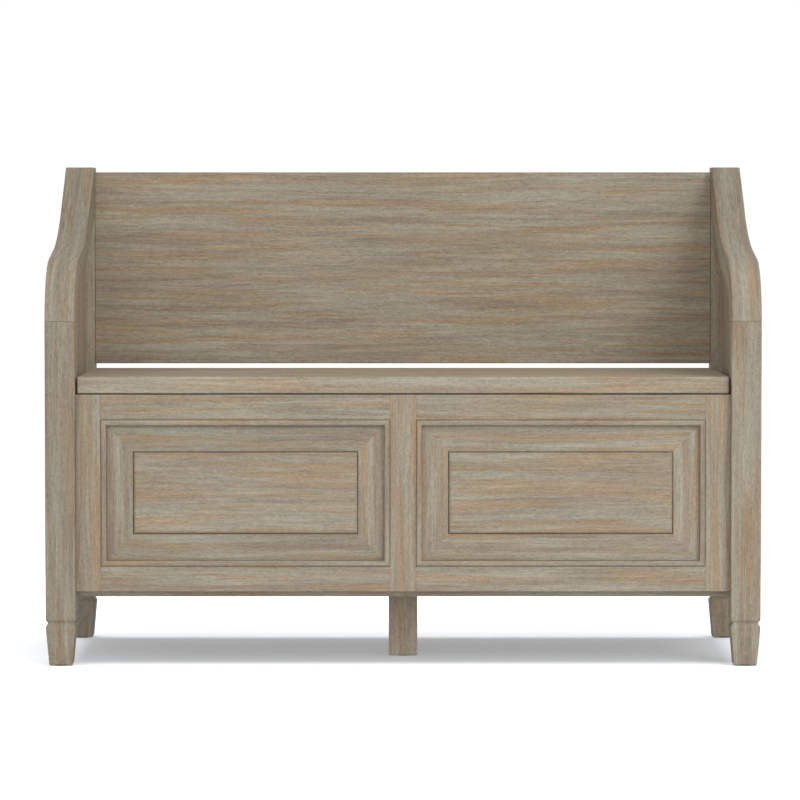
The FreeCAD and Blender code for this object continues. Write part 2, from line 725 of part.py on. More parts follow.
def make_panels():
    """Two panels: a board, a mitred border, a raised field and a bead."""
    for side in SIDES:
        across = sideways(side, "opening_inner", "opening_outer")
        high = ("opening_low", "opening_top")
        backing = block("panel_board_" + side, across, ("panel_front", "frame_back"), high)
        keep(backing, "panel_board_" + side)
        names = {"low": "bottom", "high": "top", "near": "west", "far": "east"}
        for run, word in names.items():
            label = "border_%s_%s" % (side, word)
            piece = mitred_piece(
                label, run, across, high, "border_wide", "border_front", "border_thick",
                "border_easing")
            keep(piece, label)
        beads = []
        for run, word in names.items():
            beads.append(mitred_piece(
                "bead_%s_%s" % (side, word), run, across, high, "bead_wide", "bead_front",
                "border_front - bead_front", "bead_round"))
        keep(group("bead_group_" + side, beads), "bead_" + side)
        make_field(side, across, high)


def make_field(side, across, high):
    label = "field_" + side
    body = doc.addObject("PartDesign::Body", label)
    x = ("%s + field_inset" % across[0], "%s - field_inset" % across[1])
    z = ("%s + field_inset" % high[0], "%s - field_inset" % high[1])
    solid = body.newObject("PartDesign::AdditiveBox", label + "_wood")
    bind(solid, Length=span(x), Width="panel_front - (field_front)", Height=span(z))
    place(body, x[0], "field_front", z[0])
    edges = edges_where(solid, lambda a, b: max(abs(a.y), abs(b.y)) < TOUCH)
    bevel = body.newObject("PartDesign::Chamfer", label + "_bevel")
    bevel.Base = (solid, edges)
    bind(bevel, Size="field_bevel")
    keep(body, label)


def make_back():
    """The backrest, the back of the box and the strip for the hinges."""
    across = ("-inner", "inner")
    deep = ("back_front", "back_rear")
    backrest = board("backrest_planed", across, deep, ("backrest_low", "backrest_high"), "board_easing")
    drilled(backrest, "backrest_panel", peg_holes["backrest", "left"] + peg_holes["backrest", "right"])
    rear = block("box_back_planed", across, deep, ("frame_base", "strip_low"))
    drilled(rear, "box_back_panel", screw_holes["corner_back", "left"] + screw_holes["corner_back", "right"])
    strip = join("seat_strip_planed", [
        block("seat_strip_wide", ("-side_inner", "side_inner"), ("strip_face", "rear_post_front"),
              ("strip_low", "frame_top")),
        block("seat_strip_rear", across, ("rear_post_front", "back_rear"), ("strip_low", "frame_top")),
    ])
    holes = []
    for i in range(3):
        holes = holes + screw_holes["hinge_plate", i]
    drilled(strip, "seat_strip", holes)


def make_floor():
    """The bottom board and what carries it."""
    board_high = ("floor_low", "floor_top")
    bottom = join("bottom_board_sawn", [
        block("bottom_board_wide", ("-side_inner", "side_inner"), ("front_post_back", "rear_post_front"),
              board_high),
        block("bottom_board_front", ("-inner", "inner"), ("frame_back", "front_post_back"), board_high),
        block("bottom_board_rear", ("-inner", "inner"), ("rear_post_front", "back_front"), board_high),
    ])
    keep(bottom, "bottom_board")
    low = ("bearer_low", "floor_low")
    middle = ("-bearer_wide / 2", "bearer_wide / 2")
    keep(block("centre_bearer", middle, ("frame_back", "back_front"), low), "centre_bearer")
    spans = {
        "front_battens": ("frame_back", "frame_back + batten_wide"),
        "rear_battens": ("back_front - batten_wide", "back_front"),
    }
    for label, deep in spans.items():
        pieces = [
            block("%s_%s" % (label, side), sideways(side, "bearer_wide / 2", "inner"), deep, low)
            for side in SIDES
        ]
        keep(group(label, pieces), label)
    foot = board(
        "centre_foot", middle, ("front + centre_foot_front", "front + centre_foot_front + bearer_wide"),
        ("glide_thick", "bearer_low"), "board_easing")
    keep(foot, "centre_foot")


def make_inner_blocks():
    """Ledgers, corner blocks and stay blocks inside the box."""
    ledgers = []
    corners = []
    stays = []
    for side in SIDES:
        across = sideways(side, "ledger_face", "side_inner")
        ledger = block(
            "lid_ledger_" + side, across, ("front_post_back", "strip_face"), ("ledger_low", "frame_top"))
        ledgers.append(cut_holes(ledger, screw_holes["ledger", side]))
        stay = block(
            "stay_block_" + side, across, ("stay_block_face", "strip_face"),
            ("stay_block_low", "ledger_low"))
        stays.append(cut_holes(stay, screw_holes["stay_block", side] + screw_holes["stay_box", side]))
        across = sideways(side, "block_inner", "inner")
        front = block(
            "corner_front_" + side, across, ("frame_back", "frame_back + corner_side"),
            ("floor_top", "ledger_low"))
        corners.append(cut_holes(front, screw_holes["corner_front", side]))
        rear = block(
            "corner_rear_" + side, across, ("back_front - corner_side", "back_front"),
            ("floor_top", "strip_low"))
        corners.append(cut_holes(rear, screw_holes["corner_back", side]))
    keep(group("lid_ledger_pair", ledgers), "lid_ledgers")
    keep(group("corner_block_set", corners), "corner_blocks")
    keep(group("stay_block_pair", stays), "stay_blocks")


def cut_holes(item, tools):
    cut = doc.addObject("Part::Cut", item.Name + "_drilled")
    cut.Base = item
    cut.Tool = group(item.Name + "_holes", tools)
    return cut


def make_glides_and_bumpers():
    """Glides under the five feet, bumpers under the seat board."""
    places = [("0", "front + centre_foot_front + bearer_wide / 2")]
    for side in SIDES:
        for y in ("front + post_side / 2", "back - post_side / 2"):
            places.append((at_side(side, "outer - post_side / 2"), y))
    glides = [
        cylinder("glide_%d" % i, x, y, "0", "glide_radius", "glide_thick", "up")
        for i, (x, y) in enumerate(places)
    ]
    keep(group("glide_set", glides), "foot_glides")
    bumpers = [
        cylinder("bumper_" + side, at_side(side, "bumper_offset"), "frame_front + frame_thick / 2",
                 "frame_top", "bumper_radius", "bumper_thick", "up")
        for side in SIDES
    ]
    keep(group("bumper_pair", bumpers), "lid_bumpers")


def make_lid():
    """The seat board and its two battens."""
    board_side = "inner - lid_side_gap"
    lid = board(
        "lid_planed", ("-(%s)" % board_side, board_side), ("lid_front", "lid_back"),
        ("lid_low", "seat_height"), "lid_easing")
    holes = []
    for i in range(3):
        holes = holes + screw_holes["hinge_leaf", i]
    battens = []
    for side in SIDES:
        near = "lid_batten_offset - lid_batten_wide / 2"
        far = "lid_batten_offset + lid_batten_wide / 2"
        batten = block(
            "lid_batten_" + side, sideways(side, near, far),
            ("lid_batten_near", "lid_batten_far"), ("lid_batten_low", "lid_low"))
        battens.append(cut_holes(batten, screw_holes["lid_batten", side]))
        holes = holes + screw_holes["lid_batten", side] + screw_holes["stay_lid", side]
    drilled(lid, "lid", holes)
    keep(group("lid_batten_pair", battens), "lid_battens")


def make_hinges():
    """Three butt hinges, each with knuckles by turns on plate and leaf."""
    plates = []
    leaves = []
    pins = []
    for i, middle in enumerate(HINGES):
        start = "%s - hinge_long / 2" % middle
        across = (start, "%s + hinge_long" % start)
        bore = cylinder(
            "hinge_bore_%d" % i, start, "hinge_y", "hinge_z",
            "pin_radius + running_gap", "hinge_long", "right")
        fixed = [block(
            "hinge_plate_%d" % i, across, ("hinge_y + leaf_clear", "hinge_y + plate_reach"),
            ("frame_top", "frame_top + leaf_thick"))]
        moving = [block(
            "hinge_leaf_%d" % i, across, ("lid_back", "lid_back + leaf_thick"),
            ("hinge_z + leaf_clear", "hinge_z + leaf_reach"))]
        for k in range(KNUCKLES):
            name = "hinge_%d_knuckle_%d" % (i, k)
            low = "%s + hinge_long * %d / %d + knuckle_gap / 2" % (start, k, KNUCKLES)
            long = "hinge_long / %d - knuckle_gap" % KNUCKLES
            wide = (low, "%s + %s" % (low, long))
            knuckle = cylinder(name, low, "hinge_y", "hinge_z", "knuckle_radius", long, "right")
            if k % 2 == 0:
                fixed.append(knuckle)
                fixed.append(block(
                    name + "_web", wide, ("hinge_y", "hinge_y + leaf_clear"),
                    ("frame_top", "frame_top + leaf_thick")))
            else:
                moving.append(knuckle)
                moving.append(block(
                    name + "_web", wide, ("lid_back", "lid_back + leaf_thick"),
                    ("hinge_z", "hinge_z + leaf_clear")))
        plate = join("hinge_plate_%d_bent" % i, fixed)
        plates.append(cut_holes(plate, screw_holes["hinge_plate", i] + [bore]))
        leaf = join("hinge_leaf_%d_bent" % i, moving)
        leaves.append(cut_holes(leaf, screw_holes["hinge_leaf", i] + [bore]))
        pins.append(cylinder(
            "hinge_pin_%d" % i, start, "hinge_y", "hinge_z", "pin_radius", "hinge_long", "right"))
    keep(group("hinge_plate_set", plates), "hinge_plates")
    keep(group("hinge_leaf_set", leaves), "hinge_leaves")
    keep(group("hinge_pin_set", pins), "hinge_pins")


def stay_arm(side, name, near, length, y, z, angle, bores):
    """A flat steel strip with round ends, its first pivot at a place."""
    half = "stay_wide / 2"
    body = doc.addObject("PartDesign::Body", name)
    sketch = outline(body, name + "_outline", "YZ_Plane", [
        (half, "-" + half),
        (half, half),
        ("-(%s) - %s" % (length, half), half),
        ("-(%s) - %s" % (length, half), "-" + half),
    ], None, [("0", "0", bores[0]), ("-(%s)" % length, "0", bores[1])])
    padded(body, name + "_strip", sketch, "stay_thick")
    doc.recompute()
    side_height = number(half)

    def corner(a, b):
        across = abs(a.x - b.x) > (b - a).Length - TOUCH
        return across and abs(abs(a.z) - side_height) < TOUCH

    ease(body, body.Tip, "stay_wide / 2 - stay_flat", edges_where(body.Tip, corner))
    place(body, sideways(side, near, near + " + stay_thick")[0], y, z)
    turn(body, (1, 0, 0), angle)
    keep(body, name)


def pivot(name, side, y, z, start, stop, head):
    """A pivot pin between two distances from the middle, with an inner head."""
    shank = cylinder(
        name + "_shank", at_side(side, start), y, z, "stay_pin_radius",
        "(%s) - (%s)" % (stop, start), side)
    cap = cylinder(
        name + "_head", at_side(side, head), y, z, "stay_head_radius", "stay_head_thick", side)
    return [shank, cap]


def make_stays():
    """Two folding stays, each of two arms, a knee rivet and two brackets."""
    box_brackets = []
    lid_brackets = []
    bore = "stay_pin_radius + running_gap"
    lower = "sqrt(stay_reach ^ 2 + stay_drop ^ 2)"
    upper = "sqrt(stay_offset ^ 2 + stay_fall ^ 2)"
    inner_head = "stay_inner - running_gap * 2 - stay_head_thick"
    for side in SIDES:
        stay_arm(
            side, "stay_lower_arm_" + side, "stay_middle", lower, "box_pivot_y", "box_pivot_z",
            "atan(stay_drop / stay_reach)", (bore, "stay_pin_radius"))
        stay_arm(
            side, "stay_upper_arm_" + side, "stay_inner", upper, "knee_y", "knee_z",
            "-90 deg - atan(stay_offset / stay_fall)", (bore, bore))
        rivet = pivot(
            "stay_rivet_" + side, side, "knee_y", "knee_z", inner_head,
            "stay_outer + stay_head_thick", inner_head)
        rivet.append(cylinder(
            "stay_rivet_outer_" + side, at_side(side, "stay_outer"), "knee_y", "knee_z",
            "stay_head_radius", "stay_head_thick", side))
        keep(join("stay_rivet_%s_set" % side, rivet), "stay_rivet_" + side)
        box_brackets.append(make_box_bracket(side))
        lid_brackets.append(make_lid_bracket(side, inner_head))
    keep(group("stay_box_bracket_pair", box_brackets), "stay_box_brackets")
    keep(group("stay_lid_bracket_pair", lid_brackets), "stay_lid_brackets")


def make_box_bracket(side):
    """A plate on the stay block, with the pin of the stay's lower arm."""
    face = "ledger_face - stay_plate_thick"
    plate = block(
        "stay_box_plate_" + side, sideways(side, face, "ledger_face"),
        ("box_pivot_y - stay_wide / 2", "box_pivot_y + stay_wide / 2"),
        ("box_pivot_z - stay_plate_high / 2", "box_pivot_z + stay_plate_high / 2"))
    head = "stay_middle - running_gap * 2 - stay_head_thick"
    pin = pivot("stay_box_pin_" + side, side, "box_pivot_y", "box_pivot_z", head, "ledger_face", head)
    shoulder = cylinder(
        "stay_box_shoulder_" + side, at_side(side, "stay_outer + running_gap * 2"), "box_pivot_y",
        "box_pivot_z", "stay_head_radius", "ledger_face - (stay_outer) - running_gap * 2", side)
    fused = join("stay_box_bracket_%s_bent" % side, [plate, shoulder] + pin)
    return cut_holes(fused, screw_holes["stay_box", side])


def make_lid_bracket(side, inner_head):
    """An angle under the seat board, with the pin of the stay's upper arm."""
    foot = block(
        "stay_lid_foot_" + side, sideways(side, "stay_outer - stay_foot_wide", "stay_outer"),
        ("lid_pivot_y - stay_foot_long / 2", "lid_pivot_y + stay_foot_long / 2"),
        ("lid_low - stay_plate_thick", "lid_low"))
    flange = block(
        "stay_lid_flange_" + side, sideways(side, "stay_middle", "stay_outer"),
        ("lid_pivot_y - stay_wide / 2", "lid_pivot_y + stay_wide / 2"),
        ("lid_pivot_z - stay_wide / 2", "lid_low"))
    pin = pivot(
        "stay_lid_pin_" + side, side, "lid_pivot_y", "lid_pivot_z", inner_head, "stay_outer", inner_head)
    fused = join("stay_lid_bracket_%s_bent" % side, [foot, flange] + pin)
    return cut_holes(fused, screw_holes["stay_lid", side])


def write_steps():
    """Checks every object, then writes each sub-part to its own file."""
    doc.recompute()
    for item in doc.Objects:
        if "Invalid" in item.State or "Error" in item.State:
            raise ValueError("%s did not compute: %s" % (item.Name, item.State))
    for item in subparts:
        if item.Shape.isNull() or not item.Shape.isValid():
            raise ValueError("%s has no valid shape" % item.Label)
    os.makedirs("parts", exist_ok=True)
    for item in subparts:
        item.Shape.exportStep("parts/%s.step" % item.Label)
        print(item.Label, len(item.Shape.Solids), round(item.Shape.Volume, 1))
    print(len(subparts), "sub-parts")


fill_sheet()
make_dowels()
make_screws()
make_posts()
make_arms()
make_sides()
make_front_frame()
make_panels()
make_back()
make_floor()
make_inner_blocks()
make_glides_and_bumpers()
make_lid()
make_hinges()
make_stays()
keep(group("dowel_set", pegs), "dowels")
keep(group("frame_screw_set", frame_screws), "frame_screws")
keep(group("lid_screw_set", lid_screws), "lid_screws")
write_steps()
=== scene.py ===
import math

import bpy
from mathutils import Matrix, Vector


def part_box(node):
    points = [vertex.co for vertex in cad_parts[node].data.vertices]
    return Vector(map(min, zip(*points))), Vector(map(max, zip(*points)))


# The settle bench dressed for its picture: weathered oak on every board, its
# steel hinges and stays, a pale studio floor and the photograph's camera.
# Metres throughout, +X along the bench, +Y to its back, +Z up.

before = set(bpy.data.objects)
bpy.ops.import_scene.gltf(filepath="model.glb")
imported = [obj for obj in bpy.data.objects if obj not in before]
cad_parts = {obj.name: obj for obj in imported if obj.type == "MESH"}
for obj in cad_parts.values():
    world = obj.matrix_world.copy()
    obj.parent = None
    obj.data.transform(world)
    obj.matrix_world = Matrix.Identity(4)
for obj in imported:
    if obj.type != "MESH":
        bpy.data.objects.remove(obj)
scene = bpy.context.scene
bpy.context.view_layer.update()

MM = 0.001

# The photograph's camera: a long lens a little over six metres away.
IMAGE_SIDE = 800
FOCAL_PIXELS = 4026
SENSOR = 36.0
CAMERA_PLACE = (-0.008, -6.2075, 0.6718)
CAMERA_TILT = 87.382
CAMERA_YAW = -0.032
CAMERA_REACH = 60

# The floor glows a little under the bench and is plain white away from it.
# The bench gets back only a part of its light.
FLOOR_RADIUS = 14.0
FLOOR_COLOUR = (0.48, 0.50, 0.53, 1.0)
FLOOR_GLOW = 0.28
FLOOR_NEAR = 1.1
FLOOR_FAR = 2.2
FLOOR_BOUNCE = 0.45

# Strength of the studio's white, as light and as the picture's background.
STUDIO_LIGHT = 0.68
STUDIO_WHITE = 1.02
WHITE = (1.0, 1.0, 1.0, 1.0)

# Lamps: place, what they aim at, size in metres and watts.
KEY = ((2.4, -3.6, 2.9), (0, 0, 0.4), (2.0, 2.0), 76)
FILL = ((-0.6, -5.0, 1.5), (0, 0, 0.4), (3.0, 2.0), 37)
FLOOR_LAMP = ((0.0, -0.25, 3.0), (0, -0.05, 0), (3.0, 3.0), 255)

# Wood tones, as they look on a flat board in even light.
PLAIN = (160, 149, 130)
SAGE = (164, 157, 139)
MAUVE = (153, 138, 120)
ORANGE = (164, 142, 115)
PORE = (108, 96, 80)

# The layers of grain: their length and width in metres.
ZONES = (0.30, 0.0145)
FLAMES = (0.26, 0.0090)
BANDS = (0.085, 0.0055)
WIDE_BANDS = (0.26, 0.022)
PORES = (0.007, 0.0006)

# Fibres of every length, about as wide as the eye can part them, each with
# the place where its noise starts.
FIBRE_WIDTH = 0.0019
FIBRES = ((0.0030, 31.7), (0.0065, 43.9), (0.018, 57.3), (0.110, 71.1))

# Where in a layer's noise each tone starts and is full.
SAGE_RANGE = (0.48, 0.62)
MAUVE_RANGE = (0.50, 0.36)
ORANGE_RANGE = (0.53, 0.66)
PORE_RANGE = (0.36, 0.22)

# How strongly each layer lightens and darkens the wood.
FIBRE_CONTRAST = 0.29
BAND_CONTRAST = 0.36
WIDE_CONTRAST = 0.30
PORE_SHARE = 0.35

# How far the grain wanders across the board and into it, and how many such
# bends there are to a metre, along and across.
WANDER_ACROSS = 0.016
WANDER_THROUGH = 0.008
BENDS_ALONG = 2.6
BENDS_ACROSS = 14.0

# How far apart in the noise two boards lie, and how much less through them.
BOARD_STEP = 3.17
BOARD_STEP_THROUGH = 0.7

# The pores' depth beside the fibres' height, and the wood's roughness on the
# lowest and the highest fibres.
PORE_DEPTH = -0.6
FIBRE_REACH = 0.4
ROUGH_LOW = 0.74
ROUGH_HIGH = 0.60


def linear(colour):
    """An sRGB colour of 0 to 255 as the linear colour that a shader wants."""
    parts = []
    for part in colour:
        share = part / 255
        parts.append(share / 12.92 if share <= 0.04045 else ((share + 0.055) / 1.055) ** 2.4)
    return (*parts, 1.0)


class Nodes:
    """A short way to write a node tree."""

    def __init__(self, tree):
        self.tree = tree

    def add(self, kind, **settings):
        node = self.tree.nodes.new(kind)
        for name, value in settings.items():
            setattr(node, name, value)
        return node

    def feed(self, node, **inputs):
        for name, value in inputs.items():
            self.put(node.inputs[name.replace("_", " ")], value)
        return node

    def put(self, socket, value):
        if isinstance(value, bpy.types.NodeSocket):
            self.tree.links.new(value, socket)
        else:
            socket.default_value = value

    def math(self, operation, first, second=0.0, third=None):
        node = self.add("ShaderNodeMath", operation=operation)
        self.put(node.inputs[0], first)
        self.put(node.inputs[1], second)
        if third is not None:
            self.put(node.inputs[2], third)
        return node.outputs[0]

    def combine(self, x, y, z):
        node = self.add("ShaderNodeCombineXYZ")
        for socket, value in zip(node.inputs, (x, y, z)):
            self.put(socket, value)
        return node.outputs[0]

    def noise(self, vector, scale, detail, roughness=0.5):
        node = self.add("ShaderNodeTexNoise")
        self.feed(node, Vector=vector, Scale=scale, Detail=detail, Roughness=roughness)
        return node.outputs["Fac"]

    def ramp(self, factor, low, high, start=0.0, stop=1.0):
        """Maps a range of a factor smoothly onto another."""
        node = self.add("ShaderNodeMapRange", interpolation_type="SMOOTHSTEP")
        self.put(node.inputs["Value"], factor)
        self.put(node.inputs["From Min"], low)
        self.put(node.inputs["From Max"], high)
        self.put(node.inputs["To Min"], start)
        self.put(node.inputs["To Max"], stop)
        return node.outputs["Result"]

    def mix(self, factor, first, second, blend="MIX"):
        """Mixes two colours, whose sockets come after those for numbers and vectors."""
        node = self.add("ShaderNodeMix", data_type="RGBA", blend_type=blend)
        self.put(node.inputs[0], factor)
        self.put(node.inputs[6], first)
        self.put(node.inputs[7], second)
        return node.outputs[2]


def oak_group():
    """Weathered oak on coordinates that run along, across and through it."""
    tree = bpy.data.node_groups.new("weathered_oak", "ShaderNodeTree")
    face = tree.interface
    for name in ("Along", "Across", "Through", "Seed", "Warmth", "Tone"):
        face.new_socket(name, in_out="INPUT", socket_type="NodeSocketFloat")
    face.new_socket("Color", in_out="OUTPUT", socket_type="NodeSocketColor")
    face.new_socket("Roughness", in_out="OUTPUT", socket_type="NodeSocketFloat")
    face.new_socket("Height", in_out="OUTPUT", socket_type="NodeSocketFloat")
    n = Nodes(tree)
    given = n.add("NodeGroupInput").outputs
    shift = n.math("MULTIPLY", given["Seed"], BOARD_STEP)
    along = n.math("ADD", given["Along"], shift)
    across = n.math("ADD", given["Across"], shift)
    through = n.math("ADD", given["Through"], n.math("MULTIPLY", shift, BOARD_STEP_THROUGH))

    # The grain wanders slowly across the board.
    slow = n.combine(
        n.math("MULTIPLY", along, BENDS_ALONG), n.math("MULTIPLY", across, BENDS_ACROSS), through)
    wander = n.math("SUBTRACT", n.noise(slow, 1.0, 2.0), 0.5)
    bent = n.math("MULTIPLY_ADD", wander, WANDER_ACROSS, across)
    deep = n.math("MULTIPLY_ADD", wander, WANDER_THROUGH, through)

    def streaks(layer, detail, roughness, offset):
        length, width = layer
        place = n.combine(
            n.math("MULTIPLY_ADD", along, 1 / length, offset),
            n.math("MULTIPLY", bent, 1 / width),
            n.math("MULTIPLY", deep, 0.5 / width))
        return n.noise(place, 1.0, detail, roughness)

    zones = streaks(ZONES, 3.0, 0.6, 0.0)
    colour = n.mix(n.ramp(zones, *SAGE_RANGE), linear(PLAIN), linear(SAGE))
    colour = n.mix(n.ramp(zones, *MAUVE_RANGE), colour, linear(MAUVE))
    flame = n.math("ADD", streaks(FLAMES, 2.5, 0.55, 7.3), given["Warmth"])
    colour = n.mix(n.ramp(flame, *ORANGE_RANGE), colour, linear(ORANGE))

    fibres = 0.0
    for length, offset in FIBRES:
        more = streaks((length, FIBRE_WIDTH), 0.0, 0.5, offset)
        fibres = n.math("ADD", fibres, n.math("SUBTRACT", more, 0.5))
    bands = n.math("SUBTRACT", streaks(BANDS, 1.0, 0.5, 83.9), 0.5)
    wide = n.math("SUBTRACT", streaks(WIDE_BANDS, 1.0, 0.5, 63.1), 0.5)
    light = n.math("MULTIPLY_ADD", bands, BAND_CONTRAST, 1.0)
    light = n.math("MULTIPLY_ADD", fibres, FIBRE_CONTRAST, light)
    light = n.math("MULTIPLY_ADD", wide, WIDE_CONTRAST, light)
    pores = n.ramp(streaks(PORES, 0.0, 0.5, 97.3), *PORE_RANGE)
    colour = n.mix(n.math("MULTIPLY", pores, PORE_SHARE), colour, linear(PORE))
    tone = n.math("MULTIPLY", given["Tone"], light)
    shade = n.combine(tone, tone, tone)
    colour = n.mix(1.0, colour, shade, "MULTIPLY")

    height = n.math("MULTIPLY_ADD", pores, PORE_DEPTH, fibres)
    rough = n.ramp(fibres, -FIBRE_REACH, FIBRE_REACH, ROUGH_LOW, ROUGH_HIGH)
    result = n.add("NodeGroupOutput")
    n.put(result.inputs["Color"], colour)
    n.put(result.inputs["Roughness"], rough)
    n.put(result.inputs["Height"], height)
    return tree


OAK = oak_group()
BUMP_DEPTH = 0.22 * MM
BUMP_STRENGTH = 0.6
GLOSS = 0.28

# How light the wood is in the thin lines of painted shade: along both
# edges of the beads, and in the crease where an arm meets its post.
BEAD_WIDE = 9.0 * MM
BEAD_PAINTED_SHADE = 0.66
JOINT_PAINTED_SHADE = 0.62

# Where those lines start and end: inward from a bead's outer edge, outward
# from its inner edge, and up from the joint.
OUTER_LINE = (-1.7 * MM, -0.5 * MM)
INNER_LINE = (0.3 * MM - BEAD_WIDE, 1.3 * MM - BEAD_WIDE)
JOINT_RANGE = (0.4 * MM, 1.4 * MM)

# How much darker the arms are painted towards the back, as painted shade,
# and where that happens, where their front bend ends and its radius, how much
# longer their grain is past it, and how they sweep up there.
ARM_PAINTED_SHADE = 0.85
ARM_PAINTED_SHADE_RANGE = (0.04, 0.22)
ARM_BEND = 0.094
ARM_RADIUS = 0.072
ARM_STRETCH = 0.35
ARM_SLOPE = 0.12
ARM_CURVE = 0.95


def place_of(n):
    """A point of the surface, in the object's own coordinates."""
    source = n.add("ShaderNodeTexCoord").outputs["Object"]
    parts = n.add("ShaderNodeSeparateXYZ")
    n.put(parts.inputs[0], source)
    return parts.outputs


def along_axis(axis):
    """Grain straight along one axis, with no lines of painted shade."""

    def run(n):
        x, y, z = place_of(n)
        return {"X": (x, z, y, None), "Y": (y, z, x, None), "Z": (z, x, y, None)}[axis]

    return run


def along_bead(centre, half):
    """Grain along each mitred side of a rectangle in X and Z, with a line of painted shade on both
    edges.
    """

    def run(n):
        x, y, z = place_of(n)
        from_x = n.math("SUBTRACT", n.math("ABSOLUTE", n.math("SUBTRACT", x, centre[0])), half[0])
        from_z = n.math("SUBTRACT", n.math("ABSOLUTE", n.math("SUBTRACT", z, centre[1])), half[1])
        level = n.math("GREATER_THAN", from_z, from_x)
        along = n.math("ADD", n.math("MULTIPLY", level, x), n.math(
            "MULTIPLY", n.math("SUBTRACT", 1.0, level), n.math("ADD", z, 5.0)))
        across = n.math("ADD", n.math("MULTIPLY", level, z), n.math(
            "MULTIPLY", n.math("SUBTRACT", 1.0, level), x))
        inside = n.math("MAXIMUM", from_x, from_z)
        outer = n.ramp(inside, *OUTER_LINE, 1.0, BEAD_PAINTED_SHADE)
        inner = n.ramp(inside, *INNER_LINE, BEAD_PAINTED_SHADE, 1.0)
        return along, across, y, n.math("MULTIPLY", outer, inner)

    return run


def along_arm(bend):
    """Grain that turns with an arm's front bend, then follows its sweep, with a line of painted shade
    at the joint and painted shade towards the back.
    """

    def run(n):
        x, y, z = place_of(n)
        back = n.math("SUBTRACT", y, bend[0])
        up = n.math("SUBTRACT", z, bend[1])
        forward = n.math("MAXIMUM", n.math("MULTIPLY", back, -1.0), 0.0)
        above = n.math("MAXIMUM", up, 0.0)
        angle = n.math("ARCTAN2", above, n.math("ADD", forward, 1e-5))
        radius = n.math("SQRT", n.math(
            "ADD", n.math("MULTIPLY", forward, forward), n.math("MULTIPLY", above, above)))
        past = n.math("MAXIMUM", back, 0.0)
        along = n.math("ADD", n.math("MULTIPLY", angle, ARM_RADIUS), n.math(
            "MULTIPLY", past, ARM_STRETCH))
        rise = n.math("ADD", n.math("MULTIPLY", past, ARM_SLOPE), n.math(
            "MULTIPLY", n.math("MULTIPLY", past, past), ARM_CURVE))
        across = n.math("SUBTRACT", radius, rise)
        # Painted shade: a dark line at the joint and darker wood towards the back.
        line = n.ramp(up, *JOINT_RANGE, JOINT_PAINTED_SHADE, 1.0)
        painted_back_shade = n.ramp(past, *ARM_PAINTED_SHADE_RANGE, 1.0, ARM_PAINTED_SHADE)
        return along, x, across, n.math("MULTIPLY", line, painted_back_shade)

    return run


def oak(name, run, seed, warmth, tone):
    """One board's oak: its own stretch of grain, warmth and tone."""
    material = bpy.data.materials.new(name)
    material.use_nodes = True
    n = Nodes(material.node_tree)
    shader = material.node_tree.nodes["Principled BSDF"]
    along, across, through, line = run(n)
    # A board's lines of painted shade darken its tone.
    if line is not None:
        tone = n.math("MULTIPLY", line, tone)
    group = n.add("ShaderNodeGroup", node_tree=OAK)
    n.feed(group, Along=along, Across=across, Through=through, Seed=seed, Warmth=warmth, Tone=tone)
    n.put(shader.inputs["Base Color"], group.outputs["Color"])
    n.put(shader.inputs["Roughness"], group.outputs["Roughness"])
    shader.inputs["Specular IOR Level"].default_value = GLOSS
    bump = n.add("ShaderNodeBump")
    n.feed(bump, Strength=BUMP_STRENGTH, Distance=BUMP_DEPTH, Height=group.outputs["Height"])
    n.put(shader.inputs["Normal"], bump.outputs["Normal"])
    return material


# The mottle of steel and rubber: its features to a metre, how dark it gets,
# how far the roughness strays, and its relief.
MOTTLE_SCALE = 900.0
MOTTLE_DARK = 0.8
MOTTLE_SPREAD = 0.08
MOTTLE_STRENGTH = 0.4
MOTTLE_DEPTH = 0.05 * MM


def metal(name, colour, roughness, metallic):
    """Satin steel or rubber with a fine mottle."""
    material = bpy.data.materials.new(name)
    material.use_nodes = True
    n = Nodes(material.node_tree)
    shader = material.node_tree.nodes["Principled BSDF"]
    source = n.add("ShaderNodeTexCoord").outputs["Object"]
    mottle = n.noise(source, MOTTLE_SCALE, 3.0, 0.6)
    dark = tuple(MOTTLE_DARK * part for part in colour)
    n.put(shader.inputs["Base Color"], n.mix(n.ramp(mottle, 0.3, 0.7), linear(dark), linear(colour)))
    n.put(shader.inputs["Roughness"], n.ramp(
        mottle, 0.25, 0.75, roughness - MOTTLE_SPREAD, roughness + MOTTLE_SPREAD))
    shader.inputs["Metallic"].default_value = metallic
    bump = n.add("ShaderNodeBump")
    n.feed(bump, Strength=MOTTLE_STRENGTH, Distance=MOTTLE_DEPTH, Height=mottle)
    n.put(shader.inputs["Normal"], bump.outputs["Normal"])
    return material


def dress(node, material):
    """Gives a CAD node a new material."""
    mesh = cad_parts[node].data
    for i in range(len(mesh.materials)):
        mesh.materials[i] = material
    if not mesh.materials:
        mesh.materials.append(material)


